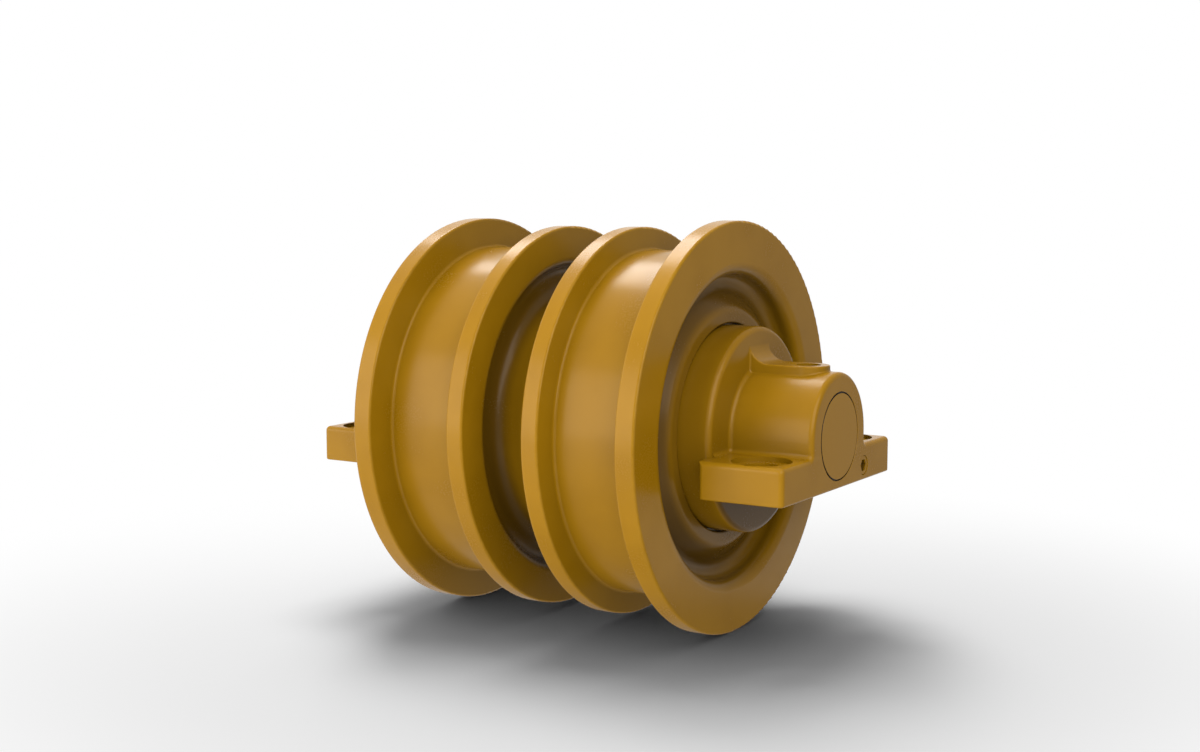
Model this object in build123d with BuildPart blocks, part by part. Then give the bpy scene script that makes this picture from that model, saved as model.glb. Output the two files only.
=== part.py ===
from build123d import *
import math
import os

# A double flange track roller for a crawler machine, in millimetres.
# The drum turns about Y on a shaft that two brackets hold. Z is up, and the origin is on the axis,
# halfway along it. The near end is the one at -Y, and "out" is a distance from the middle along the axis.
# Every piece is drawn at the near end. The far end has the same castings, turned half a turn about Z.

# Drum, outside
OUTER_FLANGE_R = 215.0
INNER_FLANGE_R = 207.5
TREAD_R = 183.0
DRUM_HALF_WIDTH = 169.0
OUTER_RIM_WIDTH = 21.5
INNER_RIM_WIDTH = 19.5
FLANGE_TAPER = 3.8
RIM_ROUND = 2.6
ROOT_ROUND = 3.3

# Groove between the two inner flanges, which widens under the treads
GROOVE_HALF_WIDTH = 35.5
GROOVE_FLOOR_R = 127.5
GROOVE_SHOULDER_R = 168.0
GROOVE_SHOULDER_LEAN = 65.0
GROOVE_SHOULDER_ROUND = 9.5
GROOVE_BELLY_WIDENING = 17.5
GROOVE_BELLY_ROUND = 18.5

# Dished ring in each outer face, with a soft ridge round the hub
DISH_MOUTH_R = 160.0
DISH_DEPTH = 27.3
DISH_SHOULDER_ROUND = 12.0
DISH_CHANNEL_WIDTH = 16.5
DISH_CHANNEL_ROUND = 11.5
HUB_RIDGE_DEPTH = 12.0
HUB_RIDGE_WIDTH = 14.4
HUB_RIDGE_ROUND = 11.5
HUB_MOUTH_ROUND = 2.0
HUB_MOUTH_CLEARANCE = 2.2

# Bracket casting
BARREL_R = 107.0
BARREL_STAND_OUT = 22.5
BARREL_EDGE_ROUND = 6.0
BRACKET_LENGTH = 91.0
ARCH_R = 64.6
EAR_HALF_SPAN = 131.0
SEAT_DROP = 53.1
EAR_THICKNESS = 37.7
BRACKET_EDGE_ROUND = 5.0
BRACKET_ROOT_ROUND = 4.5
SEAT_EDGE_ROUND = 2.0

# Bolt holes in the ears
BOLT_HOLE_R = 16.5
BOLT_HALF_SPACING_X = 98.0
BOLT_FROM_FACE = 52.5
SPOTFACE_R = 30.0
SPOTFACE_DEPTH = 4.5

# Boss on top of the bracket, over the retaining pin
BOSS_HALF_WIDTH = 21.5
BOSS_RISE = 5.9
GUSSET_FROM_RIM = 10.7
GUSSET_ROUND = 22.0
BOSS_TOP_ROUND = 1.5
BOSS_ROOT_ROUND = 2.0
BOSS_SINK = 15.0

# Retaining pin
PIN_R = 12.45
PIN_CLEARANCE = 0.05
PIN_FROM_FACE = 56.0
PIN_RECESS = 5.0
PIN_BELOW_AXIS = 30.0
PIN_CHAMFER = 1.2

# Oil port and its socket plug
PLUG_X = 62.6
PLUG_DROP = 37.9
PLUG_R = 10.35
PLUG_CLEARANCE = 0.05
PLUG_LENGTH = 13.0
PLUG_RECESS = 0.6
PLUG_CHAMFER = 0.8
SOCKET_CORNER_R = 6.9
SOCKET_DEPTH = 7.5
PORT_R = 4.0

# Shaft
SHAFT_END_R = 45.0
JOURNAL_R = 55.0
SHAFT_CHAMFER = 0.4
JOINT_LINE_WIDTH = 1.2
JOINT_LINE_DEPTH = 2.0
BORE_CHAMFER = 0.5
SHAFT_FIT = 0.05
THRUST_DEPTH = 29.0

# Flanged bushes
RUNNING_CLEARANCE = 0.06
THRUST_CLEARANCE = 0.3
DRIVE_FIT = 0.02
BUSH_WALL = 7.5
BUSH_FLANGE_WIDTH = 13.5
BUSH_FLANGE_THICKNESS = 8.0
RESERVOIR_STEP = 7.5
RESERVOIR_HALF_LENGTH = 28.0
BUSH_END_GAP = 2.0
OIL_GROOVE_R = 2.5
OIL_GROOVES = 4

# Dowels through each bush flange
DOWEL_R = 3.0
DOWEL_FROM_FLANGE_RIM = 5.0
DOWEL_DEPTH = 12.0
DOWEL_RECESS = 0.5
DOWELS = 2

# Face seals, where "away" is a distance from the plane in which the two metal rings meet
SEAL_PLANE_FROM_THRUST = 9.75
LABYRINTH_GAP = 1.5
SEAL_HOUSING_WALL = 5.5
SEAL_RAMP_ANGLE = 12.0
SEAL_HOUSING_DEPTH = 21.0
SEAL_RING_GAP = 4.5
SEAL_RING_WALL = 6.6
SEAL_RING_LENGTH = 18.0
SEAL_FLANGE_THICKNESS = 4.5
SEAL_RAMP_START = 7.0
SEAL_FLANGE_WIDTH = 8.4
SEAL_FILM = 0.03
SEAL_FACE_WIDTH = 4.0
SEAL_FACE_RELIEF = 0.8
TORIC_AWAY = 12.5
TORIC_CLEARANCE = 0.1
THRUST_BOSS_WIDTH = 12.0
DRUM_BOSS_WIDTH = 4.0

# Rubber rings on the shaft ends
ORING_R = 2.5
ORING_FROM_THRUST = 40.0
ORING_GROOVE_WIDTH = 6.2
ORING_CLEARANCE = 0.06

# How close two places must be for edges and faces picked by place
TOUCH = 0.01

# Places that follow from the sizes above
THRUST_OUT = DRUM_HALF_WIDTH - THRUST_DEPTH
BARREL_FACE_OUT = DRUM_HALF_WIDTH + BARREL_STAND_OUT
END_OUT = BARREL_FACE_OUT + BRACKET_LENGTH
PIN_OUT = BARREL_FACE_OUT + PIN_FROM_FACE
BOLT_OUT = BARREL_FACE_OUT + BOLT_FROM_FACE
EAR_TOP = EAR_THICKNESS - SEAT_DROP
HUB_MOUTH_R = BARREL_R + HUB_MOUTH_CLEARANCE
HUB_RIDGE_OUT = DRUM_HALF_WIDTH - HUB_RIDGE_DEPTH
DISH_FLOOR_OUT = DRUM_HALF_WIDTH - DISH_DEPTH
BUSH_BORE_R = JOURNAL_R + RUNNING_CLEARANCE
BUSH_R = BUSH_BORE_R + BUSH_WALL
BUSH_FLANGE_R = BUSH_R + BUSH_FLANGE_WIDTH
RESERVOIR_R = BUSH_R + RESERVOIR_STEP
DOWEL_PITCH_R = BUSH_FLANGE_R - DOWEL_FROM_FLANGE_RIM
DRUM_BOSS_R = BUSH_FLANGE_R + DRUM_BOSS_WIDTH
THRUST_BOSS_R = JOURNAL_R + THRUST_BOSS_WIDTH
BUSH_FACE_OUT = THRUST_OUT - THRUST_CLEARANCE
BUSH_SEAT_OUT = BUSH_FACE_OUT - BUSH_FLANGE_THICKNESS
BUSH_INNER_OUT = RESERVOIR_HALF_LENGTH + BUSH_END_GAP
BRACKET_BORE_R = SHAFT_END_R + SHAFT_FIT
SEAL_RAMP = math.tan(math.radians(SEAL_RAMP_ANGLE))
SEAL_MOUTH_R = BARREL_R - SEAL_HOUSING_WALL
SEAL_RING_R = SEAL_MOUTH_R - SEAL_RING_GAP
SEAL_RAMP_R = SEAL_RING_R - SEAL_FLANGE_WIDTH
SEAL_RING_BORE_R = SEAL_RAMP_R - SEAL_RING_WALL
SEAL_BOTTOM_R = SEAL_MOUTH_R - SEAL_HOUSING_DEPTH * SEAL_RAMP
SEAL_PLANE_OUT = THRUST_OUT + SEAL_PLANE_FROM_THRUST
BRACKET_RIM_OUT = SEAL_PLANE_OUT + LABYRINTH_GAP / 2
DRUM_LIP_OUT = SEAL_PLANE_OUT - LABYRINTH_GAP / 2
BRACKET_HOUSING_OUT = BRACKET_RIM_OUT + SEAL_HOUSING_DEPTH
DRUM_HOUSING_OUT = DRUM_LIP_OUT - SEAL_HOUSING_DEPTH
ORING_OUT = THRUST_OUT + ORING_FROM_THRUST
ORING_CENTRE_R = BRACKET_BORE_R - ORING_R - ORING_CLEARANCE
ORING_FLOOR_R = ORING_CENTRE_R - ORING_R - ORING_CLEARANCE
BARREL_FLAT_R = BARREL_R - BARREL_EDGE_ROUND
BOSS_HEIGHT = ARCH_R + BOSS_RISE
GUSSET_FOOT_UP = math.sqrt(BARREL_FLAT_R**2 - BOSS_HALF_WIDTH**2) - GUSSET_FROM_RIM
GUSSET_RISE = GUSSET_FOOT_UP - BOSS_HEIGHT
GUSSET_ANGLE = math.degrees(math.acos(1 - GUSSET_RISE / GUSSET_ROUND))
GUSSET_END_OUT = BARREL_FACE_OUT + GUSSET_ROUND * math.sin(math.radians(GUSSET_ANGLE))

# Section has the radius along X and "out" along its own Y. Side has "out" along its X and up along its Y.
SECTION = Plane(origin=(0, 0, 0), x_dir=(1, 0, 0), z_dir=(0, 0, -1))
SIDE = Plane(origin=(0, 0, 0), x_dir=(0, -1, 0), z_dir=(-1, 0, 0))
END = Plane.XZ

os.makedirs("parts", exist_ok=True)


def save(part, name):
    part.label = name
    export_step(part, f"parts/{name}.step")


def save_both(part, name):
    """Writes a near piece and its far twin, which is the same piece turned half a turn about Z."""
    save(part, f"{name}_near")
    with BuildPart() as twin:
        add(part, rotation=(0, 0, 180))
    save(twin.part, f"{name}_far")


def on_seat_rim(edge):
    """Whether an edge borders the seat anywhere but along the barrel's face."""
    middle = edge @ 0.5
    return abs(middle.Z + SEAT_DROP) < TOUCH and -middle.Y > BARREL_FACE_OUT + TOUCH


def on_boss_foot(edge):
    """Whether an edge is where the boss stands on the arch."""
    middle = edge @ 0.5
    on_arch = abs(math.hypot(middle.X, middle.Z) - ARCH_R) < TOUCH
    within_boss = abs(middle.X) < BOSS_HALF_WIDTH + TOUCH and -middle.Y < PIN_OUT + BOSS_HALF_WIDTH + TOUCH
    return on_arch and within_boss


def on_boss_rim(edge):
    """Whether an edge is the outer edge of the boss's top or of its gusset."""
    middle = edge @ 0.5
    within_boss = abs(middle.X) < BOSS_HALF_WIDTH + TOUCH and -middle.Y < PIN_OUT + BOSS_HALF_WIDTH + TOUCH
    return within_boss and middle.Z > BOSS_HEIGHT - TOUCH and not edge.is_interior


# The drum is one forging. Its half section runs from the middle of the groove out over both flanges,
# through the dished ring to the hub mouth, and back along the seal housing and the bush bore.
groove_belly_out = GROOVE_HALF_WIDTH + GROOVE_BELLY_WIDENING
groove_shoulder_foot_r = GROOVE_SHOULDER_R - GROOVE_BELLY_WIDENING / math.tan(math.radians(GROOVE_SHOULDER_LEAN))
inner_flange_out = GROOVE_HALF_WIDTH + INNER_RIM_WIDTH
outer_flange_out = DRUM_HALF_WIDTH - OUTER_RIM_WIDTH
dish_flank_foot_r = DISH_MOUTH_R - DISH_CHANNEL_WIDTH
hub_ridge_r = HUB_MOUTH_R + HUB_RIDGE_WIDTH
drum_bush_r = BUSH_R + DRIVE_FIT

drum_corners = [
    ((GROOVE_FLOOR_R, 0), 0),
    ((GROOVE_FLOOR_R, groove_belly_out), GROOVE_BELLY_ROUND),
    ((groove_shoulder_foot_r, groove_belly_out), GROOVE_BELLY_ROUND),
    ((GROOVE_SHOULDER_R, GROOVE_HALF_WIDTH), GROOVE_SHOULDER_ROUND),
    ((INNER_FLANGE_R, GROOVE_HALF_WIDTH), RIM_ROUND),
    ((INNER_FLANGE_R, inner_flange_out), RIM_ROUND),
    ((TREAD_R, inner_flange_out + FLANGE_TAPER), ROOT_ROUND),
    ((TREAD_R, outer_flange_out - FLANGE_TAPER), ROOT_ROUND),
    ((OUTER_FLANGE_R, outer_flange_out), RIM_ROUND),
    ((OUTER_FLANGE_R, DRUM_HALF_WIDTH), RIM_ROUND),
    ((DISH_MOUTH_R, DRUM_HALF_WIDTH), DISH_SHOULDER_ROUND),
    ((DISH_MOUTH_R, DISH_FLOOR_OUT), DISH_CHANNEL_ROUND),
    ((dish_flank_foot_r, DISH_FLOOR_OUT), DISH_CHANNEL_ROUND),
    ((hub_ridge_r, HUB_RIDGE_OUT), HUB_RIDGE_ROUND),
    ((HUB_MOUTH_R, HUB_RIDGE_OUT), HUB_MOUTH_ROUND),
    ((HUB_MOUTH_R, DRUM_LIP_OUT), 0),
    ((SEAL_MOUTH_R, DRUM_LIP_OUT), 0),
    ((SEAL_BOTTOM_R, DRUM_HOUSING_OUT), 0),
    ((DRUM_BOSS_R, DRUM_HOUSING_OUT), 0),
    ((DRUM_BOSS_R, BUSH_SEAT_OUT), 0),
    ((drum_bush_r, BUSH_SEAT_OUT), 0),
    ((drum_bush_r, RESERVOIR_HALF_LENGTH), 0),
    ((RESERVOIR_R, RESERVOIR_HALF_LENGTH), 0),
    ((RESERVOIR_R, 0), 0),
]

with BuildPart() as drum:
    with BuildSketch(SECTION):
        with BuildLine():
            FilletPolyline(*[corner for corner, _ in drum_corners], radius=[r for _, r in drum_corners], close=True)
        make_face()
    revolve(axis=Axis.Y)
    with Locations(END.offset(BUSH_SEAT_OUT)):
        with PolarLocations(DOWEL_PITCH_R, DOWELS):
            Hole(DOWEL_R + DRIVE_FIT, DOWEL_DEPTH)
    mirror(about=Plane.XZ)
save(drum.part, "roller_drum")

# The bracket's block is an arch over the shaft with an ear on each side, on one flat machined seat
with BuildPart() as block:
    with BuildSketch(END.offset(BARREL_FACE_OUT)) as omega:
        Circle(ARCH_R)
        with Locations((0, -SEAT_DROP)):
            Rectangle(2 * ARCH_R, SEAT_DROP, align=(Align.CENTER, Align.MIN))
            Rectangle(2 * EAR_HALF_SPAN, EAR_THICKNESS, align=(Align.CENTER, Align.MIN))
            Rectangle(2 * ARCH_R, ARCH_R, align=(Align.CENTER, Align.MAX), mode=Mode.SUBTRACT)
        at_ear_top = omega.vertices().filter_by(lambda v: abs(v.Y - EAR_TOP) < TOUCH)
        fillet(at_ear_top.filter_by(lambda v: abs(v.X) > ARCH_R + TOUCH), BRACKET_EDGE_ROUND)
        at_ear_top = omega.vertices().filter_by(lambda v: abs(v.Y - EAR_TOP) < TOUCH)
        fillet(at_ear_top.filter_by(lambda v: abs(v.X) < ARCH_R + TOUCH), BRACKET_ROOT_ROUND)
    extrude(amount=BRACKET_LENGTH)
    end_outline = block.faces().sort_by(Axis.Y)[0].edges()
    fillet(end_outline.filter_by(lambda e: e.center().Z > TOUCH - SEAT_DROP), BRACKET_EDGE_ROUND)

# Cove where the block grows out of the flat part of the barrel's face
with BuildPart() as cove:
    add(block.part)
    with BuildSketch(END.offset(BARREL_FACE_OUT)):
        Circle(2 * EAR_HALF_SPAN)
    extrude(amount=-BRACKET_ROOT_ROUND)
    face_edges = cove.edges().filter_by(lambda e: abs(e.center().Y + BARREL_FACE_OUT) < TOUCH)
    root_edges = face_edges.filter_by(lambda e: -SEAT_DROP + TOUCH < e.center().Z and e.length < 2 * math.pi * ARCH_R)
    fillet(root_edges, BRACKET_ROOT_ROUND)
    with BuildSketch(END.offset(BARREL_FACE_OUT)):
        Circle(BARREL_FLAT_R)
    extrude(amount=BRACKET_ROOT_ROUND, mode=Mode.INTERSECT)

# The ears' upright back edges are rounded in plan
with BuildPart() as eared_block:
    add(block.part)
    with BuildSketch(Plane.XY.offset(-SEAT_DROP)) as plan:
        with Locations((0, -BARREL_FACE_OUT)):
            Rectangle(2 * EAR_HALF_SPAN, BRACKET_LENGTH, align=(Align.CENTER, Align.MAX))
        fillet(plan.vertices().group_by(Axis.Y)[-1], BRACKET_EDGE_ROUND)
    extrude(amount=SEAT_DROP + ARCH_R, mode=Mode.INTERSECT)
    fillet(eared_block.edges().filter_by(on_seat_rim), SEAT_EDGE_ROUND)

# The bracket is one casting. Its barrel is turned, with the seal housing in the inner end and a thrust
# boss in the middle, and the block, the boss with its gusset and the holes are worked on that.
with BuildPart() as bracket:
    with BuildSketch(SECTION):
        with BuildLine():
            FilletPolyline(
                (0, THRUST_OUT),
                (THRUST_BOSS_R, THRUST_OUT),
                (THRUST_BOSS_R, BRACKET_HOUSING_OUT),
                (SEAL_BOTTOM_R, BRACKET_HOUSING_OUT),
                (SEAL_MOUTH_R, BRACKET_RIM_OUT),
                (BARREL_R, BRACKET_RIM_OUT),
                (BARREL_R, BARREL_FACE_OUT),
                (0, BARREL_FACE_OUT),
                radius=[0, 0, 0, 0, 0, 0, BARREL_EDGE_ROUND, 0],
                close=True,
            )
        make_face()
    revolve(axis=Axis.Y)
    add(eared_block.part)
    add(cove.part)
    # Boss over the retaining pin, with a concave gusset back to the barrel
    with BuildSketch(SIDE):
        with BuildLine():
            sweep_up = JernArc((GUSSET_END_OUT, BOSS_HEIGHT), (-1, 0), GUSSET_ROUND, -GUSSET_ANGLE)
            Polyline(
                sweep_up @ 1,
                (BARREL_FACE_OUT, BOSS_HEIGHT - BOSS_SINK),
                (PIN_OUT, BOSS_HEIGHT - BOSS_SINK),
                (PIN_OUT, BOSS_HEIGHT),
                sweep_up @ 0,
            )
        make_face()
    extrude(amount=BOSS_HALF_WIDTH, both=True)
    with BuildSketch(Plane.XY.offset(BOSS_HEIGHT - BOSS_SINK)):
        with Locations((0, -PIN_OUT)):
            Circle(BOSS_HALF_WIDTH)
    extrude(amount=BOSS_SINK)
    # Small rounds at the boss's foot and round its top
    fillet(bracket.edges().filter_by(on_boss_foot), BOSS_ROOT_ROUND)
    fillet(bracket.edges().filter_by(on_boss_rim), BOSS_TOP_ROUND)
    # Bore for the shaft, with a chamfered mouth
    with Locations(END.offset(END_OUT)):
        Hole(BRACKET_BORE_R, END_OUT - THRUST_OUT)
    chamfer(bracket.faces().sort_by(Axis.Y)[0].inner_wires().edges(), BORE_CHAMFER)
    with Locations(Plane.XY.offset(BOSS_HEIGHT)):
        with Locations((0, -PIN_OUT)):
            Hole(PIN_R + PIN_CLEARANCE, BOSS_HEIGHT)
    # Bolt holes with a spotface on each ear
    with Locations(Plane.XY.offset(EAR_TOP)):
        with Locations((-BOLT_HALF_SPACING_X, -BOLT_OUT), (BOLT_HALF_SPACING_X, -BOLT_OUT)):
            CounterBoreHole(BOLT_HOLE_R, SPOTFACE_R, SPOTFACE_DEPTH)
    # Oil port from the end face through to the seal housing
    with Locations(END.offset(END_OUT)):
        with Locations((PLUG_X, -PLUG_DROP)):
            CounterBoreHole(PORT_R, PLUG_R + PLUG_CLEARANCE, PLUG_RECESS + PLUG_LENGTH, END_OUT - BRACKET_RIM_OUT)
save_both(bracket.part, "bracket")

with BuildPart() as pin:
    with BuildSketch(Plane.XY.offset(-PIN_BELOW_AXIS)):
        with Locations((0, -PIN_OUT)):
            Circle(PIN_R)
    extrude(amount=PIN_BELOW_AXIS + BOSS_HEIGHT - PIN_RECESS)
    chamfer(pin.edges().filter_by(GeomType.CIRCLE), PIN_CHAMFER)
save_both(pin.part, "retaining_pin")

with BuildPart() as plug:
    with BuildSketch(END.offset(END_OUT - PLUG_RECESS)):
        with Locations((PLUG_X, -PLUG_DROP)):
            Circle(PLUG_R)
    extrude(amount=-PLUG_LENGTH)
    chamfer(plug.edges().filter_by(GeomType.CIRCLE), PLUG_CHAMFER)
    with BuildSketch(END.offset(END_OUT - PLUG_RECESS)):
        with Locations((PLUG_X, -PLUG_DROP)):
            RegularPolygon(SOCKET_CORNER_R, 6)
    extrude(amount=-SOCKET_DEPTH, mode=Mode.SUBTRACT)
save_both(plug.part, "oil_plug")

# The shaft is thick between the brackets and steps down into each bracket's bore. Its tips step in once more,
# which leaves the joint line in the end face
shaft_tip_r = SHAFT_END_R - JOINT_LINE_WIDTH
with BuildPart() as shaft:
    with BuildSketch(SECTION):
        with BuildLine():
            Polyline(
                (0, 0),
                (JOURNAL_R, 0),
                (JOURNAL_R, THRUST_OUT),
                (SHAFT_END_R, THRUST_OUT),
                (SHAFT_END_R, ORING_OUT - ORING_GROOVE_WIDTH / 2),
                (ORING_FLOOR_R, ORING_OUT - ORING_GROOVE_WIDTH / 2),
                (ORING_FLOOR_R, ORING_OUT + ORING_GROOVE_WIDTH / 2),
                (SHAFT_END_R, ORING_OUT + ORING_GROOVE_WIDTH / 2),
                (SHAFT_END_R, END_OUT - JOINT_LINE_DEPTH),
                (shaft_tip_r, END_OUT - JOINT_LINE_DEPTH),
                (shaft_tip_r, END_OUT - SHAFT_CHAMFER),
                (shaft_tip_r - SHAFT_CHAMFER, END_OUT),
                (0, END_OUT),
                close=True,
            )
        make_face()
    revolve(axis=Axis.Y)
    with Locations(Plane.XY.offset(SHAFT_END_R)):
        with Locations((0, -PIN_OUT)):
            Hole(PIN_R + PIN_CLEARANCE, SHAFT_END_R + PIN_BELOW_AXIS)
    mirror(about=Plane.XZ)
save(shaft.part, "shaft")

# Bronze bush with a thrust flange, oil grooves along its bore and across its face, and dowel holes
with BuildPart() as bush:
    with BuildSketch(SECTION):
        with BuildLine():
            Polyline(
                (BUSH_BORE_R, BUSH_INNER_OUT),
                (BUSH_R, BUSH_INNER_OUT),
                (BUSH_R, BUSH_SEAT_OUT),
                (BUSH_FLANGE_R, BUSH_SEAT_OUT),
                (BUSH_FLANGE_R, BUSH_FACE_OUT),
                (BUSH_BORE_R, BUSH_FACE_OUT),
                close=True,
            )
        make_face()
    revolve(axis=Axis.Y)
    with BuildSketch(END.offset(BUSH_FACE_OUT)):
        with PolarLocations(BUSH_BORE_R, OIL_GROOVES, start_angle=180 / OIL_GROOVES):
            Circle(OIL_GROOVE_R)
    extrude(amount=BUSH_INNER_OUT - BUSH_FACE_OUT, mode=Mode.SUBTRACT)
    with BuildSketch(END.offset(BUSH_FACE_OUT)):
        with PolarLocations((BUSH_BORE_R + BUSH_FLANGE_R) / 2, OIL_GROOVES, start_angle=180 / OIL_GROOVES):
            Rectangle(2 * (BUSH_FLANGE_R - BUSH_BORE_R), OIL_GROOVE_R)
    extrude(amount=-OIL_GROOVE_R / 2, mode=Mode.SUBTRACT)
    with Locations(END.offset(BUSH_FACE_OUT)):
        with PolarLocations(DOWEL_PITCH_R, DOWELS):
            Hole(DOWEL_R + DRIVE_FIT, BUSH_FLANGE_THICKNESS)
save_both(bush.part, "bushing")

with BuildPart() as dowels:
    with BuildSketch(END.offset(BUSH_FACE_OUT - DOWEL_RECESS)):
        with PolarLocations(DOWEL_PITCH_R, DOWELS):
            Circle(DOWEL_R)
    extrude(amount=DOWEL_RECESS - BUSH_FLANGE_THICKNESS - DOWEL_DEPTH)
save_both(dowels.part, "bushing_dowels")

# Each face seal is two metal rings that meet in one plane, each pushed by a rubber toric ring between
# its own ramp and the ramp of its housing. One pair stands in the bracket and the other turns.
ring_back_r = SEAL_RAMP_R - (SEAL_RING_LENGTH - SEAL_RAMP_START) * SEAL_RAMP
housing_r_at_toric = SEAL_MOUTH_R - (TORIC_AWAY - LABYRINTH_GAP / 2) * SEAL_RAMP
ring_r_at_toric = SEAL_RAMP_R - (TORIC_AWAY - SEAL_RAMP_START) * SEAL_RAMP
toric_r = (housing_r_at_toric - ring_r_at_toric) * math.cos(math.radians(SEAL_RAMP_ANGLE)) / 2 - TORIC_CLEARANCE
toric_centre_r = (housing_r_at_toric + ring_r_at_toric) / 2

for state, side in (("fixed", 1), ("turning", -1)):
    with BuildPart() as seal_ring:
        with BuildSketch(SECTION):
            with BuildLine():
                Polyline(
                    (SEAL_RING_R, SEAL_PLANE_OUT + side * SEAL_FILM),
                    (SEAL_RING_R, SEAL_PLANE_OUT + side * SEAL_FLANGE_THICKNESS),
                    (SEAL_RAMP_R, SEAL_PLANE_OUT + side * SEAL_RAMP_START),
                    (ring_back_r, SEAL_PLANE_OUT + side * SEAL_RING_LENGTH),
                    (SEAL_RING_BORE_R, SEAL_PLANE_OUT + side * SEAL_RING_LENGTH),
                    (SEAL_RING_BORE_R, SEAL_PLANE_OUT + side * SEAL_FACE_RELIEF),
                    (SEAL_RING_R - SEAL_FACE_WIDTH, SEAL_PLANE_OUT + side * SEAL_FILM),
                    close=True,
                )
            make_face()
        revolve(axis=Axis.Y)
    save_both(seal_ring.part, f"seal_ring_{state}")

    with BuildPart() as toric:
        with BuildSketch(SECTION):
            with Locations((toric_centre_r, SEAL_PLANE_OUT + side * TORIC_AWAY)):
                Circle(toric_r)
        revolve(axis=Axis.Y)
    save_both(toric.part, f"toric_ring_{state}")

with BuildPart() as oring:
    with BuildSketch(SECTION):
        with Locations((ORING_CENTRE_R, ORING_OUT)):
            Circle(ORING_R)
    revolve(axis=Axis.Y)
save_both(oring.part, "shaft_oring")
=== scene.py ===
# %% [markdown]
# A double flange track roller, dressed in its enamel and its metals. The shapes are already whole in the
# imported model: the drum, the two bracket castings, the shaft and everything sealed inside. What is left
# for Blender is light and surface. Metres are used throughout, the roller's axis is Y, and Z is up.

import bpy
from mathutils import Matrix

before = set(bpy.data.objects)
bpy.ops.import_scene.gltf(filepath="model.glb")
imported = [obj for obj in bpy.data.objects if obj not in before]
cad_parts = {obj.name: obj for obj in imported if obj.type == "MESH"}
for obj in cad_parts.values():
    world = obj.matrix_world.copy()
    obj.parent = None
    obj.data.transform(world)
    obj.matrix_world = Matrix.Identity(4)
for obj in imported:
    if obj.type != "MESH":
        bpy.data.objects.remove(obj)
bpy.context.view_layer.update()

# %% [markdown]
# The lesson needs Blender's own module and plain maths.

# %% Modules and units
import math

import bpy
from mathutils import Vector

MM = 0.001

# %% [markdown]
# The photograph looks along the roller from its near end, a little from above, with a long lens. The
# camera could be placed by eye, but a place and a direction worked out from the flanges' outlines repeat
# exactly.

# %% Camera
LENS = 50.0
SENSOR_WIDTH = 36.0
CAMERA_PLACE = Vector((-1.5347, -0.9544, 0.2397))
CAMERA_BACK = Vector((-0.844, -0.5256, 0.1072))

camera_data = bpy.data.cameras.new("camera")
camera_data.lens = LENS
camera_data.sensor_width = SENSOR_WIDTH
camera = bpy.data.objects.new("camera", camera_data)
camera.location = CAMERA_PLACE
camera.rotation_mode = "QUATERNION"
camera.rotation_quaternion = (-CAMERA_BACK).to_track_quat("-Z", "Y")
bpy.context.scene.collection.objects.link(camera)
bpy.context.scene.camera = camera
print("camera stands", round(CAMERA_PLACE.length, 3), "m from the middle of the roller")

# %% [markdown]
# Every finish below is built from node sockets. Written out by hand, a sum of two masks takes three calls
# and hides the idea, so a socket is wrapped in a small class that knows how to add, multiply and so on. A
# sum such as 1 - mask then adds its own Math node. Plain numbers are worked out in Python before they get
# here.

# %% Sockets that can be used in sums
class Wire:
    """The output of a node, which can be used in sums like a number."""

    def __init__(self, finish, socket):
        self.finish = finish
        self.socket = socket

    def maths(self, operation, *terms):
        return self.finish.node("ShaderNodeMath", {"operation": operation}, dict(enumerate(terms)))

    def __add__(self, other):
        return self.maths("ADD", self, other)

    def __sub__(self, other):
        return self.maths("SUBTRACT", self, other)

    def __rsub__(self, other):
        return self.maths("SUBTRACT", other, self)

    def __mul__(self, other):
        return self.maths("MULTIPLY", self, other)

    def __pow__(self, other):
        return self.maths("POWER", self, other)

    def __abs__(self):
        return self.maths("ABSOLUTE", self)

    __radd__ = __add__
    __rmul__ = __mul__


print("sums on sockets: +, -, *, ** and abs")

# %% [markdown]
# A finish is a node tree with a few things that all of them need. One method makes any node, from its
# type, its settings and what goes into its sockets. The others are short names for what a painter does
# most: fade one thing into another, mix two colours, and find the places that lie near a given depth or
# radius.

# %% A node tree under construction
class Finish:
    """A node tree under construction, for a material or for the world."""

    def __init__(self, tree):
        self.tree = tree

    def node(self, kind, settings=None, inputs=None, output=0):
        made = self.tree.nodes.new(kind)
        for name, value in (settings or {}).items():
            setattr(made, name, value)
        for name, value in (inputs or {}).items():
            self.plug(made.inputs[name], value)
        return Wire(self, made.outputs[output]) if made.outputs else None

    def plug(self, socket, value):
        if isinstance(value, Wire):
            self.tree.links.new(value.socket, socket)
        elif isinstance(value, (int, float)):
            socket.default_value = value
        else:
            socket.default_value = (*value, 1.0)[:len(socket.default_value)]

    def fade(self, value, start, end):
        ranges = {"From Min": start, "From Max": end}
        settings = {"interpolation_type": "SMOOTHSTEP"}
        return self.node("ShaderNodeMapRange", settings, {"Value": value, **ranges})

    def near(self, value, target, reach):
        return 1.0 - self.fade(abs(value - target), 0.0, reach)

    def mix(self, factor, first, second):
        return self.node("ShaderNodeMix", {"data_type": "RGBA"}, {0: factor, 6: first, 7: second}, output=2)

    def blend(self, factor, first, second):
        return first + (second - first) * factor


print("a finish can make nodes, fades, bands and mixes")

# %% [markdown]
# The room is a studio with a white backdrop behind the roller. The camera sees white all round. Gloss and
# glass see the white backdrop too, and walls that grow darker towards the camera's side of the room, so
# that the paint shines where a studio's would. The light on matt paint comes from two soft glows, one
# high up behind the roller and one low on its left, where a pale floor throws light back up. Light Path
# tells the kinds of ray apart. The Standard view transform shows a white of 1 as white and a paint's
# colour as it was written. The picture followed here has dark hollows, so no light is passed on between
# matt surfaces.

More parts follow.
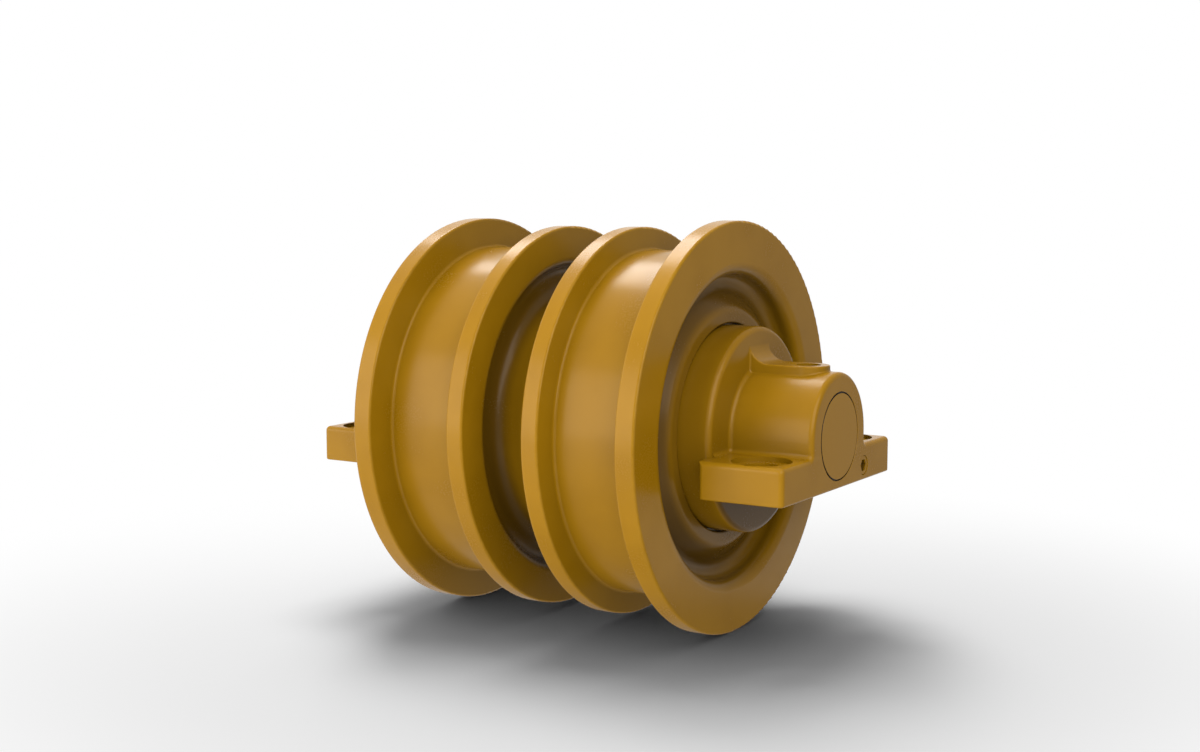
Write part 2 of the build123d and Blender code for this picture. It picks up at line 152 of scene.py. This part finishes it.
# %% Room
ROOM_WHITE = (1.0, 1.0, 1.0)
ROOM_WALLS = (0.42, 0.42, 0.42)
ROOM_FAR = (1.0, 1.0, 1.0)
FAR_SIDE = Vector((0.0, 1.0, 0.0))
FAR_START = 0.0
FAR_END = 0.55
BACKDROP_SIDE = Vector((0.85, 0.53, -0.05)).normalized()
BACKDROP_START = 0.80
BACKDROP_END = 0.96
# For each glow, where it is and how bright it is.
GLOWS = (
    (Vector((0.2, 0.46, 0.86)).normalized(), 0.54),
    (Vector((-0.8, 0.0, -0.6)).normalized(), 1.0),
)
GLOW_START = 0.0
GLOW_END = 1.0
LIGHT_PATH = "ShaderNodeLightPath"
SEEING_RAYS = ("Camera", "Glossy", "Transmission")


def toward(finish, look, side):
    return finish.node("ShaderNodeVectorMath", {"operation": "DOT_PRODUCT"}, {0: look, 1: side}, "Value")


def studio(finish, look):
    """What a ray that looks this way sees: white for the camera, backdrop and walls for gloss and glass."""
    backdrop = finish.fade(toward(finish, look, BACKDROP_SIDE), BACKDROP_START, BACKDROP_END)
    far = finish.fade(toward(finish, look, FAR_SIDE), FAR_START, FAR_END)
    walls = finish.mix(backdrop, finish.mix(far, ROOM_WALLS, ROOM_FAR), ROOM_WHITE)
    return finish.mix(finish.node(LIGHT_PATH, output="Is Camera Ray"), walls, ROOM_WHITE)


world = bpy.data.worlds.new("studio")
world.use_nodes = True
world.node_tree.nodes.clear()
room = Finish(world.node_tree)
look = room.node("ShaderNodeTexCoord", output="Generated")
glow = 0.0
for side, level in GLOWS:
    glow = glow + room.fade(toward(room, look, side), GLOW_START, GLOW_END) * level
lit_by = room.node("ShaderNodeCombineColor", inputs={"Red": glow, "Green": glow, "Blue": glow})
shown = 0.0
for kind in SEEING_RAYS:
    shown = shown + room.node(LIGHT_PATH, output=f"Is {kind} Ray")
shown = room.node("ShaderNodeClamp", inputs={"Value": shown})
seen = room.mix(shown, lit_by, studio(room, look))
background = room.node("ShaderNodeBackground", inputs={"Color": seen})
room.node("ShaderNodeOutputWorld", inputs={"Surface": background})
bpy.context.scene.world = world
bpy.context.scene.view_settings.view_transform = "Standard"
bpy.context.scene.cycles.diffuse_bounces = 0
print("room: white to look at, with", len(GLOWS), "glows of", [level for _, level in GLOWS])

# %% [markdown]
# Four lamps do the rest. The key is a tall softbox, high behind the roller on its right: its reflection
# makes the soft bright streaks on the flanges and treads. A wide round lamp near it, which gloss doesn't
# see, lights whatever faces up and gives the shadow on the floor its soft edge. Two large sheets on the
# left, one in front and one behind, give the rims, the treads and the end faces their even gold. A point
# lamp or a sun would make hard edges, and a picture of a real studio's light would hide which lamp does
# what.

# %% Lamps
SHAPE_SHARE = {"RECTANGLE": 1.0, "ELLIPSE": math.pi / 4}


def add_lamp(name, shape, side, distance, size, level):
    """An area lamp aimed at the roller. Its level is how bright its own surface is, where 1 is white."""
    data = bpy.data.lights.new(name, "AREA")
    data.shape = shape
    data.size, data.size_y = size
    area = data.size * data.size_y * SHAPE_SHARE[shape]
    data.energy = level * math.pi * area
    lamp = bpy.data.objects.new(name, data)
    lamp.location = side * distance
    lamp.rotation_mode = "QUATERNION"
    lamp.rotation_quaternion = side.to_track_quat("Z", "Y")
    lamp.visible_camera = False
    bpy.context.scene.collection.objects.link(lamp)
    print(name, "lamp:", round(data.energy, 1), "W,", size, "m,", distance, "m away")
    return lamp


KEY_SIDE = Vector((0.405, 0.445, 0.80)).normalized()
KEY_LEVEL = 5.7
KEY_SIZE = (0.95, 1.35)
TOP_SIDE = Vector((0.26, 0.27, 0.93)).normalized()
TOP_LEVEL = 4.15
TOP_SIZE = (2.0, 2.0)
LAMP_DISTANCE = 3.0
FRONT_SIDE = Vector((-0.47, -0.68, 0.56)).normalized()
FRONT_LEVEL = 1.95
BACK_SIDE = Vector((-0.8, 0.55, 0.1)).normalized()
BACK_LEVEL = 1.65
SHEET_SIZE = (2.5, 2.5)
SHEET_DISTANCE = 2.6

add_lamp("key", "RECTANGLE", KEY_SIDE, LAMP_DISTANCE, KEY_SIZE, KEY_LEVEL)
top = add_lamp("top", "ELLIPSE", TOP_SIDE, LAMP_DISTANCE, TOP_SIZE, TOP_LEVEL)
top.visible_glossy = False
front = add_lamp("front", "RECTANGLE", FRONT_SIDE, SHEET_DISTANCE, SHEET_SIZE, FRONT_LEVEL)
back = add_lamp("back", "RECTANGLE", BACK_SIDE, SHEET_DISTANCE, SHEET_SIZE, BACK_LEVEL)

# %% [markdown]
# The roller stands on its flanges on a pale floor that has no edge. The floor is lit like anything else,
# so that it holds the shadow, and far from the roller it turns into plain white, where it meets the room.
# Gloss sees part of that white under the roller too, as it does on a studio's bright paper. A
# photographer would flag the two sheets off the floor, to keep the shadow deep. Light linking does that
# here.

# %% Floor
FLOOR_Z = -0.215
FLOOR_HALF = 40.0
FLOOR_COLOUR = (0.99, 0.99, 0.99)
WHITE_START = 0.45
WHITE_END = 0.95
FLOOR_GLOSS = 0.45

floor_mesh = bpy.data.meshes.new("floor")
corners = [(x * FLOOR_HALF, y * FLOOR_HALF, FLOOR_Z) for x, y in ((-1, -1), (1, -1), (1, 1), (-1, 1))]
floor_mesh.from_pydata(corners, [], [(0, 1, 2, 3)])
floor = bpy.data.objects.new("floor", floor_mesh)
bpy.context.scene.collection.objects.link(floor)
floor.visible_shadow = False
floor.visible_diffuse = False
flagged = bpy.data.collections.new("flagged from the sheets")
flagged.objects.link(floor)
flagged.collection_objects[0].light_linking.link_state = "EXCLUDE"
for lamp in (front, back):
    lamp.light_linking.receiver_collection = flagged

floor_material = bpy.data.materials.new("pale floor")
floor_material.use_nodes = True
floor_material.node_tree.nodes.clear()
ground = Finish(floor_material.node_tree)
spot = ground.node("ShaderNodeTexCoord", output="Object")
away = ground.node("ShaderNodeVectorMath", {"operation": "LENGTH"}, {0: spot}, "Value")
lit = ground.node("ShaderNodeBsdfDiffuse", inputs={"Color": FLOOR_COLOUR})
outward = ground.node("ShaderNodeVectorMath", {"operation": "NORMALIZE"}, {0: spot})
white = ground.node("ShaderNodeEmission", inputs={"Color": studio(ground, outward)})
far_off = ground.fade(away, WHITE_START, WHITE_END)
in_gloss = ground.node(LIGHT_PATH, output="Is Glossy Ray")
plain = ground.node("ShaderNodeMath", {"operation": "MAXIMUM"}, {0: far_off, 1: in_gloss * FLOOR_GLOSS})
surface = ground.node("ShaderNodeMixShader", inputs={0: plain, 1: lit, 2: white})
ground.node("ShaderNodeOutputMaterial", inputs={"Surface": surface})
floor_mesh.materials.append(floor_material)
print("floor at", FLOOR_Z, "m, white from", WHITE_END, "m out")

# %% [markdown]
# A piece's own coordinates ride with it, so a finish that is placed by them stays on the metal while the
# drum turns. For a turned piece the useful ones are the distance from the axis and the place along it.

# %% Materials and their coordinates
def start_finish(name, metallic=0.0):
    material = bpy.data.materials.new(name)
    material.use_nodes = True
    finish = Finish(material.node_tree)
    finish.material = material
    finish.shader = material.node_tree.nodes["Principled BSDF"]
    finish.shader.inputs["Metallic"].default_value = metallic
    finish.place = finish.node("ShaderNodeTexCoord", output="Object")
    for axis in "XYZ":
        along = finish.node("ShaderNodeSeparateXYZ", inputs={0: finish.place}, output=axis)
        setattr(finish, axis.lower(), along)
    finish.radius = (finish.x * finish.x + finish.z * finish.z) ** 0.5
    return finish


def noise(finish, place, scale, detail):
    return finish.node("ShaderNodeTexNoise", inputs={"Vector": place, "Scale": scale, "Detail": detail})


def grain(finish, scale, detail=2.0):
    return noise(finish, finish.place, scale, detail)


def turned(finish, scale, detail=1.0):
    ring = finish.node("ShaderNodeCombineXYZ", inputs={"X": finish.radius, "Y": finish.y})
    return noise(finish, ring, scale, detail)


def bump(finish, height, depth, under=None):
    inputs = {"Height": height, "Distance": depth}
    if under:
        inputs["Normal"] = under
    return finish.node("ShaderNodeBump", inputs=inputs)


def finish_off(finish, colour, roughness, normal):
    finish.plug(finish.shader.inputs["Base Color"], colour)
    finish.plug(finish.shader.inputs["Roughness"], roughness)
    finish.plug(finish.shader.inputs["Normal"], normal)
    return finish.material


print("a finish knows x, y, z and its distance from the axis")

# %% [markdown]
# The enamel is one mustard gold all over, with a trace of metal flake in it. Real sprayed enamel isn't
# flat: it is a little darker where it lies thick, has a fine orange peel that softens reflections, and is
# thin on sharp edges. A joint between two pieces is painted over, and shows as a thin dark seam. Shade is
# painted in as well: each piece says where it is hollow, and there its gold turns a darker brown than this
# light alone makes it. How brown was set by the one picture followed here; for a roller in another light,
# this painted shade can be nearer to the gold.

# %% Enamel
GOLD = (0.445, 0.216, 0.005)
GOLD_DEEP = (0.405, 0.193, 0.003)
GOLD_THIN = (0.50, 0.262, 0.020)
# The colour of the painted shade in the hollows.
GOLD_PAINTED_SHADE = (0.155, 0.075, 0.006)
SEAM_DARK = (0.03, 0.02, 0.008)
ENAMEL_ROUGHNESS = 0.25
ENAMEL_GLOSS = 0.25
ENAMEL_METAL = 0.03
CLOUD_SCALE = 14.0
CLOUD_DETAIL = 3.0
CLOUD_BAND = (0.35, 0.7)
CLOUD_ROUGH = 0.12
PEEL_SCALE = 520.0
PEEL_DEPTH = 0.008 * MM
PEEL_ROUGH = 0.08
SAG_SCALE = 90.0
SAG_DEPTH = 0.02 * MM
WORN_DETAIL = 4.0
WORN_BAND = (0.35, 0.65)
WORN_SHARE = 0.35
WORN_SHINE = 0.05
NOISE_MIDDLE = 0.5


def enamel(name, edges, painted_shade, under=None, seams=None):
    finish = start_finish(name, ENAMEL_METAL)
    finish.plug(finish.shader.inputs["Specular IOR Level"], ENAMEL_GLOSS)
    clouds = grain(finish, CLOUD_SCALE, CLOUD_DETAIL)
    specks = grain(finish, PEEL_SCALE)
    colour = finish.mix(finish.fade(clouds, *CLOUD_BAND), GOLD, GOLD_DEEP)
    # Painted shade: the hollows are darkened towards brown.
    colour = finish.mix(painted_shade(finish), colour, GOLD_PAINTED_SHADE)
    if seams:
        colour = finish.mix(seams(finish), colour, SEAM_DARK)
    worn = edges(finish) * finish.fade(grain(finish, SAG_SCALE, WORN_DETAIL), *WORN_BAND)
    colour = finish.mix(worn * WORN_SHARE, colour, GOLD_THIN)
    roughness = ENAMEL_ROUGHNESS + (clouds - NOISE_MIDDLE) * CLOUD_ROUGH
    roughness = roughness + (specks - NOISE_MIDDLE) * PEEL_ROUGH - worn * WORN_SHINE
    normal = bump(finish, specks, PEEL_DEPTH, under(finish) if under else None)
    normal = bump(finish, grain(finish, SAG_SCALE), SAG_DEPTH, normal)
    return finish_off(finish, colour, roughness, normal)


print("enamel:", GOLD)

# %% [markdown]
# The drum is one turned forging. Its edges lie at known places: the four flange rims, each with a corner
# on both sides. Shade is painted into its colour in its hollows: the dish in each end face, with less on
# the ridge round the hub, the foot of each wall of the centre groove, and, very slightly, the treads.
# Masks made from the distance to the axis and the place along it follow a turned shape exactly, where
# strokes on a painted image would drift. The lathe's fine rings still show faintly through the enamel.

# %% Drum
# For each rim, its radius and how far out along the axis its outer and inner corners are, in millimetres.
RIMS = ((215.0, 169.0, 147.5), (207.5, 55.0, 35.5))
EDGE_REACH = 4.0 * MM
# Where the drum's painted shade goes, and how strong it is.
DISH_EDGE = 164.0 * MM
DRUM_FACE = 130.0 * MM
RIDGE_FOOT = 131.0 * MM
RIDGE_REACH = 10.0 * MM
RIDGE_LESS_SHADE = 0.45
DRUM_WEB = 56.0 * MM
PAINTED_SHADE_REACH = 25.0 * MM
TREAD_FROM = 58.0 * MM
TREAD_TO = 145.0 * MM
TREAD_FADE = 20.0 * MM
TREAD_EDGE = 190.0 * MM
TREAD_RISE = 12.0 * MM
TREAD_SHADE_SHARE = 0.2
GROOVE_EDGE = 60.0 * MM
GROOVE_FADE = 4.0 * MM
GROOVE_RIM = 165.0 * MM
GROOVE_RISE = 27.0 * MM
GROOVE_MIDDLE = 28.0 * MM
GROOVE_FOOT = 49.0 * MM
MIDDLE_SHADE_SHARE = 0.08
FOOT_SHADE_SHARE = 0.88
RING_SCALE = 900.0
RING_DEPTH = 0.005 * MM


def rim_edges(finish):
    side = abs(finish.y)
    found = 0.0
    for radius, outer, inner in RIMS:
        at_rim = finish.near(finish.radius, radius * MM, EDGE_REACH)
        corner = finish.near(side, outer * MM, EDGE_REACH) + finish.near(side, inner * MM, EDGE_REACH)
        found = found + at_rim * corner
    return found


def drum_painted_shade(finish):
    """How much painted shade the drum gets at each place, from 0 on its rims to 1 in the dishes of its end
    faces.
    """
    side = abs(finish.y)
    dish = finish.fade(DISH_EDGE - finish.radius, 0.0, PAINTED_SHADE_REACH)
    dish = dish * finish.fade(side, DRUM_WEB, DRUM_FACE)
    dish = dish * (1.0 - finish.fade(RIDGE_FOOT - finish.radius, 0.0, RIDGE_REACH) * RIDGE_LESS_SHADE)
    groove = finish.fade(GROOVE_EDGE - side, 0.0, GROOVE_FADE)
    groove = groove * finish.fade(GROOVE_RIM - finish.radius, 0.0, GROOVE_RISE)
    groove = groove * finish.blend(finish.fade(side, GROOVE_MIDDLE, GROOVE_FOOT), MIDDLE_SHADE_SHARE, FOOT_SHADE_SHARE)
    tread = finish.fade(side - TREAD_FROM, 0.0, TREAD_FADE) * finish.fade(TREAD_TO - side, 0.0, TREAD_FADE)
    tread = tread * finish.fade(TREAD_EDGE - finish.radius, 0.0, TREAD_RISE) * TREAD_SHADE_SHARE
    return dish + groove + tread


def lathe_rings(finish):
    return bump(finish, turned(finish, RING_SCALE), RING_DEPTH)


drum_enamel = enamel("drum enamel", rim_edges, drum_painted_shade, lathe_rings)
print("drum: rims at", [rim[0] for rim in RIMS], "mm")

# %% [markdown]
# The brackets are sand castings, machined only where something fits. The cast skin has a fine grain under
# the enamel, and the end face and the seat are smooth. The foot of the barrel and its face below the seat
# lie in the shade of the drum and the block, and that shade is painted into their colour. The bore's edge
# has the seam round the shaft's tip.

# %% Brackets
END_FACE = 282.5 * MM
EAR_END = 131.0 * MM
SEAT_Z = -53.1 * MM
EAR_TOP = -15.4 * MM
BARREL_FRONT = 200.0 * MM
BARREL_SHADE_SHARE = 0.38
SEAT_REACH = 12.0 * MM
BARREL_ROUND = 186.0 * MM
BARREL_FACE = 191.0 * MM
JOINT_R = 45.3 * MM
JOINT_FADE = 0.3 * MM
SKIN_SCALE = 380.0
SKIN_DETAIL = 4.0
SKIN_DEPTH = 0.007 * MM
MACHINED_REACH = 1.0 * MM
MACHINED_SMOOTH = 0.8


def ear_edges(finish):
    end = finish.near(abs(finish.y), END_FACE, EDGE_REACH)
    side = finish.near(abs(finish.x), EAR_END, EDGE_REACH)
    level = finish.near(finish.z, SEAT_Z, EDGE_REACH) + finish.near(finish.z, EAR_TOP, EDGE_REACH)
    return end * side + end * level + side * level


# Painted shade at the barrel's foot and on its flat below the seat.
def barrel_painted_shade(finish):
    foot = finish.fade(BARREL_FRONT - abs(finish.y), 0.0, PAINTED_SHADE_REACH) * BARREL_SHADE_SHARE
    under = finish.fade(SEAT_Z - finish.z, 0.0, SEAT_REACH)
    under = under * finish.fade(abs(finish.y), BARREL_ROUND, BARREL_FACE)
    return foot + under * (1.0 - foot)


def bore_seam(finish):
    return finish.fade(JOINT_R - finish.radius, 0.0, JOINT_FADE)


def cast_skin(finish):
    machined = finish.near(abs(finish.y), END_FACE, MACHINED_REACH)
    machined = machined + finish.near(finish.z, SEAT_Z, MACHINED_REACH)
    skin = grain(finish, SKIN_SCALE, SKIN_DETAIL) * (1.0 - machined * MACHINED_SMOOTH)
    return bump(finish, skin, SKIN_DEPTH)


bracket_enamel = enamel("bracket enamel", ear_edges, barrel_painted_shade, cast_skin, bore_seam)
print("brackets: cast skin", SKIN_DEPTH / MM, "mm deep")

# %% [markdown]
# Inside, the metals are bare: a ground shaft, hardened pins, bored bronze and lapped iron. Turned metal
# shows fine rings, so its grain follows the radius and the place along the axis. One helper makes all
# four from a row of a table, because they differ only in colour, roughness and how fine the rings are.

# %% Bare metals
# For each metal, its colour, its darker colour, its roughness, and its rings' scale and depth.
METALS = {
    "shaft steel": ((0.52, 0.51, 0.49), (0.36, 0.35, 0.34), 0.28, 1500.0, 0.004 * MM),
    "pin steel": ((0.42, 0.41, 0.40), (0.25, 0.24, 0.24), 0.35, 800.0, 0.004 * MM),
    "bored bronze": ((0.62, 0.38, 0.16), (0.42, 0.24, 0.10), 0.32, 1200.0, 0.006 * MM),
    "lapped iron": ((0.30, 0.30, 0.31), (0.18, 0.18, 0.19), 0.22, 2500.0, 0.002 * MM),
}
STAIN_SCALE = 25.0
STAIN_DETAIL = 4.0
STAIN_BAND = (0.45, 0.75)
STAIN_SHARE = 0.6
STAIN_ROUGH = 0.15
TURNED_DETAIL = 2.0
TURNED_BAND = (0.3, 0.7)
TURNED_SHARE = 0.25
TURNED_ROUGH = 0.1


def turned_metal(name):
    colour, dark, roughness, ring_scale, ring_depth = METALS[name]
    finish = start_finish(name, metallic=1.0)
    rings = turned(finish, ring_scale, TURNED_DETAIL)
    stains = grain(finish, STAIN_SCALE, STAIN_DETAIL)
    tone = finish.mix(finish.fade(stains, *STAIN_BAND) * STAIN_SHARE, colour, dark)
    tone = finish.mix(finish.fade(rings, *TURNED_BAND) * TURNED_SHARE, tone, dark)
    rough = roughness + (stains - NOISE_MIDDLE) * STAIN_ROUGH + (rings - NOISE_MIDDLE) * TURNED_ROUGH
    return finish, tone, rough, bump(finish, rings, ring_depth)


pin_steel = finish_off(*turned_metal("pin steel"))
bush_bronze = finish_off(*turned_metal("bored bronze"))
seal_iron = finish_off(*turned_metal("lapped iron"))
print("metals:", ", ".join(METALS))

# %% [markdown]
# The shaft's two ends are flush with the brackets and were painted with them, so the steel turns into
# enamel over the last millimetre. The step round each tip makes the joint line that shows in the end face.
# It is deep and narrow, so it is painted as dark as the seam on the bracket's side of it.

# %% Shaft
PAINT_FROM = 281.2 * MM
PAINT_FULL = 281.4 * MM
TIP_R = 43.6 * MM
STEP_OUT = 280.0 * MM

shaft, shaft_tone, shaft_rough, shaft_normal = turned_metal("shaft steel")
along_shaft = abs(shaft.y)
painted = shaft.fade(along_shaft, PAINT_FROM, PAINT_FULL)
shaft_tone = shaft.mix(painted, shaft_tone, GOLD)
seam = shaft.fade(shaft.radius, TIP_R - JOINT_FADE, TIP_R)
seam = seam * shaft.fade(along_shaft, STEP_OUT, STEP_OUT + JOINT_FADE)
shaft_tone = shaft.mix(seam, shaft_tone, SEAM_DARK)
shaft_rough = shaft.blend(painted, shaft_rough, ENAMEL_ROUGHNESS)
shaft.plug(shaft.shader.inputs["Specular IOR Level"], ENAMEL_GLOSS)
shaft.plug(shaft.shader.inputs["Metallic"], 1.0 - painted * (1.0 - ENAMEL_METAL))
shaft_steel = finish_off(shaft, shaft_tone, shaft_rough, shaft_normal)
print("shaft: painted from", round(PAINT_FROM / MM, 1), "mm out")

# %% [markdown]
# The oil plugs are painted over with the brackets, and shade is painted into the socket for the wrench
# to darken it. They have no worn edge. The seals' rings are soft black rubber, greyed here and there by a
# bloom. Rubber isn't turned, so its bloom follows plain noise and not the radius.

# %% Plugs and rubber
SOCKET_TOP = 281.2 * MM
SOCKET_REACH = 1.0 * MM
RUBBER_BLACK = (0.018, 0.018, 0.018)
RUBBER_GREY = (0.05, 0.05, 0.048)
RUBBER_ROUGHNESS = 0.55
BLOOM_SCALE = 60.0
BLOOM_DETAIL = 5.0
BLOOM_BAND = (0.45, 0.8)
BLOOM_ROUGH = 0.3
PORE_SCALE = 900.0
PORE_DEPTH = 0.02 * MM


def nowhere(finish):
    return finish.near(finish.radius, 0.0, EDGE_REACH)


# Painted shade in the wrench socket.
def socket(finish):
    return finish.fade(SOCKET_TOP - abs(finish.y), 0.0, SOCKET_REACH)


plug_enamel = enamel("plug enamel", nowhere, socket)
rubber = start_finish("seal rubber")
bloom = grain(rubber, BLOOM_SCALE, BLOOM_DETAIL)
rubber_tone = rubber.mix(rubber.fade(bloom, *BLOOM_BAND), RUBBER_BLACK, RUBBER_GREY)
rubber_rough = RUBBER_ROUGHNESS + (bloom - NOISE_MIDDLE) * BLOOM_ROUGH
pores = bump(rubber, grain(rubber, PORE_SCALE), PORE_DEPTH)
seal_rubber = finish_off(rubber, rubber_tone, rubber_rough, pores)
print("plugs: sockets dark below", round(SOCKET_TOP / MM, 1), "mm; rubber:", RUBBER_BLACK)

# %% [markdown]
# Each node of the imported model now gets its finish. A name's first words say what the piece is, so they
# choose the finish. The table has longer names before the shorter ones that they begin with.

# %% Dress the nodes
FINISHES = {
    "roller_drum": drum_enamel,
    "bracket": bracket_enamel,
    "shaft_oring": seal_rubber,
    "shaft": shaft_steel,
    "retaining_pin": pin_steel,
    "oil_plug": plug_enamel,
    "bushing_dowels": pin_steel,
    "bushing": bush_bronze,
    "seal_ring": seal_iron,
    "toric_ring": seal_rubber,
}

for name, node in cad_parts.items():
    chosen = next(material for start, material in FINISHES.items() if name.startswith(start))
    node.data.materials.clear()
    node.data.materials.append(chosen)
print("dressed", len(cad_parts), "nodes")

# %% [markdown]
# Last, the script says that it is done.

# %% Done
print("done: the roller is dressed and lit")
